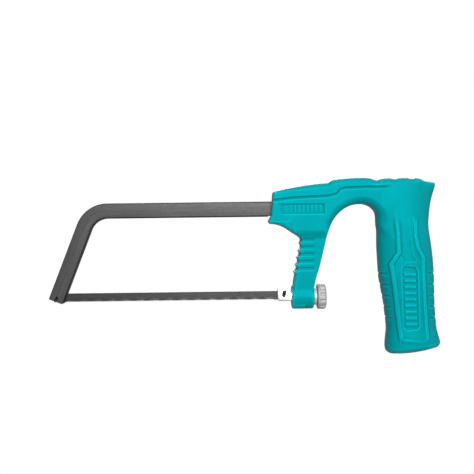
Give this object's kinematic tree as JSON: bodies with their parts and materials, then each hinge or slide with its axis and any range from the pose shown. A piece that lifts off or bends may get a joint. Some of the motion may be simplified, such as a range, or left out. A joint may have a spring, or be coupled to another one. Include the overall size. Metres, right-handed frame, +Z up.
{
  "type": "hacksaw",
  "caption": "Small pistol-grip hacksaw: flat steel bow in a moulded teal handle, fine-tooth 150 mm pin-end blade, tensioned by a bolt and a fluted knob behind the handle's leg.",
  "frame": {"origin": "on the underside of the bow's straight run, midway across its thickness and over the saw's balance point, where a peg or hook carries the saw; this is the hang_rest mount", "axes": "+X along the bow from the blade's front pin towards the handle, +Y across the saw away from the side the picture shows, +Z up with the blade below the bow"},
  "size_m": [0.2586, 0.028, 0.1164],
  "materials": {
    "teal_plastic": "satin",
    "bow_enamel": "satin",
    "blade_steel": "satin",
    "nickel": "satin",
    "zinc": "satin",
    "plain_steel": "satin"
  },
  "bodies": {
    "saw_frame": {"handle_left_shell": "teal_plastic", "handle_right_shell": "teal_plastic", "shell_screw_1": "zinc", "shell_screw_2": "zinc", "shell_screw_3": "zinc", "shell_screw_4": "zinc", "shell_screw_5": "zinc", "shell_screw_6": "zinc", "shell_screw_7": "zinc", "frame_bar": "bow_enamel", "bar_pin_front": "plain_steel", "bar_pin_rear": "plain_steel", "guide_bush": "plain_steel", "thrust_washer": "zinc"},
    "bolt": {"tension_bolt": "nickel"},
    "knob": {"tension_knob": "nickel"},
    "blade_set": {"blade": "blade_steel", "blade_pin_front": "blade_steel", "blade_pin_rear": "blade_steel"}
  },
  "joints": [
    {"name": "knob_turn", "type": "hinge", "parent": "saw_frame", "child": "knob", "pos_m": [0.0403, 0, -0.05335], "axis": [1, 0, 0], "range_deg": [0, 1440]},
    {"name": "bolt_slide", "type": "slide", "parent": "saw_frame", "child": "bolt", "axis": [-1, 0, 0], "range_m": [0, 0.0032]},
    {"name": "blade_unhook", "type": "hinge", "parent": "bolt", "child": "blade_set", "pos_m": [0.0182, 0, -0.05235], "axis": [0, -1, 0], "range_deg": [0, 3.12]}
  ],
  "couplings": [
    {"joint": "bolt_slide", "follows": "knob_turn", "m_per_rad": 0.00012732},
    {"joint": "blade_unhook", "follows": "knob_turn", "ratio": 0.002166}
  ]
}
